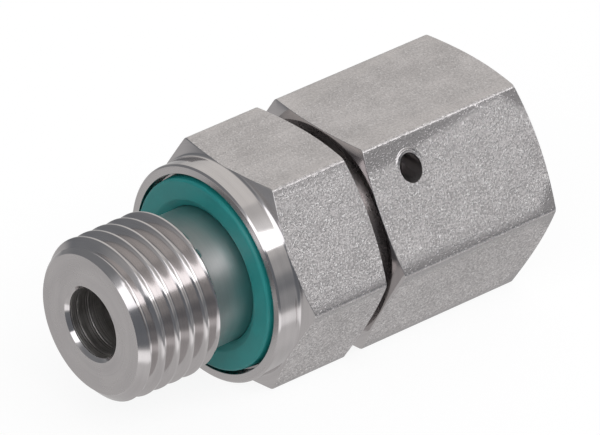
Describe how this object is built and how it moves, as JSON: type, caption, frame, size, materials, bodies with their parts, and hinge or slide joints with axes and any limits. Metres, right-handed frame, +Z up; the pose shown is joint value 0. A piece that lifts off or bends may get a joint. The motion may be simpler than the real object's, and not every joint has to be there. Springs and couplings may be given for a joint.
{
  "type": "tube coupling",
  "caption": "Stainless tube coupling: threaded stud with a green sealing ring, hexagon body and a swivel nut over a 24 degree cone with O-ring.",
  "frame": {"origin": "on the flow bore's axis, in the plane of the collar's sealing face", "axes": "+X along the bore from the screw-in stud to the nut's open end, +Z up; both hexagons lie on a flat"},
  "size_m": [0.0411, 0.0218, 0.019],
  "materials": {
    "steel": "fine turned stainless steel, satin flats",
    "wire": "drawn stainless wire",
    "green_rubber": "smooth",
    "black_rubber": "smooth"
  },
  "bodies": {
    "adaptor": {"adaptor_body": "steel", "stud_seal": "green_rubber", "cone_o_ring": "black_rubber"},
    "nut": {"swivel_nut": "steel", "retaining_wire": "wire"}
  },
  "joints": [
    {"name": "nut_swivel", "type": "hinge", "parent": "adaptor", "child": "nut", "pos_m": [0.0204, 0, 0], "axis": [1, 0, 0], "continuous": true}
  ]
}
